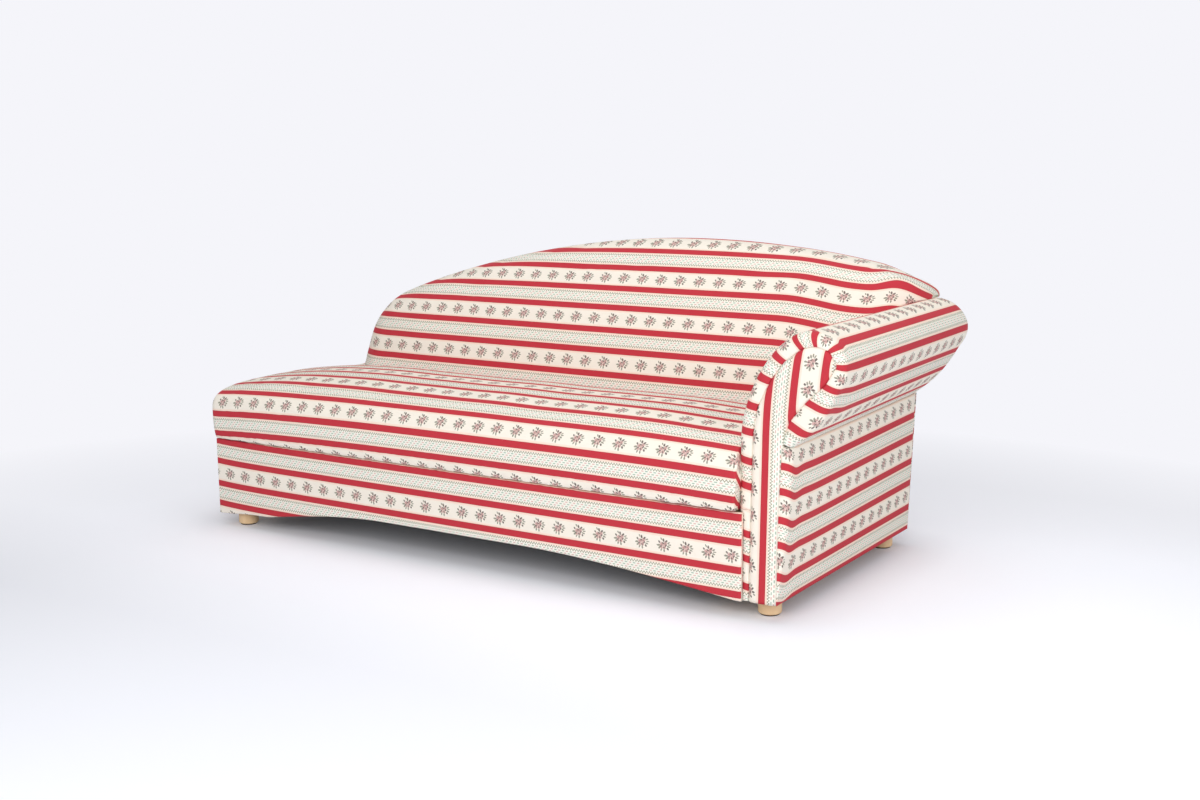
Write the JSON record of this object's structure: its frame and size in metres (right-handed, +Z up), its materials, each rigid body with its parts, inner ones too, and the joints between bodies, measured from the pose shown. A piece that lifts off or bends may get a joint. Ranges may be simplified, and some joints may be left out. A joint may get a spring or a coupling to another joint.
{
  "type": "settee",
  "caption": "Upholstered settee for several sitters with one scroll arm, an arched back, an open end and short turned feet, in striped cloth.",
  "frame": {"origin": "middle of the footprint, on the floor", "axes": "+X along the seat towards the arm, +Y from the front to the back, +Z up"},
  "size_m": [2.008, 0.9346, 0.8459],
  "materials": {
    "striped_cloth": "woven cotton with red stripes, sprigs and dotted bands on cream",
    "frame_wood": "sawn softwood, unfinished",
    "beech": "turned beech, clear satin lacquer",
    "glide_plastic": "moulded, matt dark",
    "spring_steel": "drawn steel, bare",
    "webbing": "woven strap and sheet",
    "dust_cloth": "thin black non-woven cloth"
  },
  "bodies": {
    "root": {"arm_pad": "striped_cloth", "arm_facing": "striped_cloth", "arm_outer_panel": "striped_cloth", "back_cushion": "striped_cloth", "base_front_cover": "striped_cloth", "base_left_cover": "striped_cloth", "outside_back": "striped_cloth", "seat_cushion": "striped_cloth", "front_rail": "frame_wood", "rear_rail": "frame_wood", "left_end_rail": "frame_wood", "right_end_rail": "frame_wood", "stretcher_1": "frame_wood", "stretcher_2": "frame_wood", "corner_block_front_left": "frame_wood", "corner_block_front_right": "frame_wood", "corner_block_rear_left": "frame_wood", "corner_block_rear_right": "frame_wood", "arm_front_board": "frame_wood", "arm_rear_board": "frame_wood", "arm_top_rail": "frame_wood", "arm_lower_rail": "frame_wood", "arm_bottom_rail": "frame_wood", "back_top_rail": "frame_wood", "back_post_1": "frame_wood", "back_post_2": "frame_wood", "back_post_3": "frame_wood", "back_post_4": "frame_wood", "foot_front_left": "beech", "foot_front_right": "beech", "foot_rear_left": "beech", "foot_rear_right": "beech", "glide_front_left": "glide_plastic", "glide_front_right": "glide_plastic", "glide_rear_left": "glide_plastic", "glide_rear_right": "glide_plastic", "seat_spring_1": "spring_steel", "seat_spring_2": "spring_steel", "seat_spring_3": "spring_steel", "seat_spring_4": "spring_steel", "seat_spring_5": "spring_steel", "seat_spring_6": "spring_steel", "seat_spring_7": "spring_steel", "foot_bolt_front_left": "spring_steel", "foot_bolt_front_right": "spring_steel", "foot_bolt_rear_left": "spring_steel", "foot_bolt_rear_right": "spring_steel", "arm_bolt_1": "spring_steel", "arm_bolt_2": "spring_steel", "back_webbing_1": "webbing", "back_webbing_2": "webbing", "back_webbing_3": "webbing", "back_webbing_4": "webbing", "back_webbing_5": "webbing", "seat_platform": "webbing", "dust_cover": "dust_cloth"}
  },
  "joints": []
}
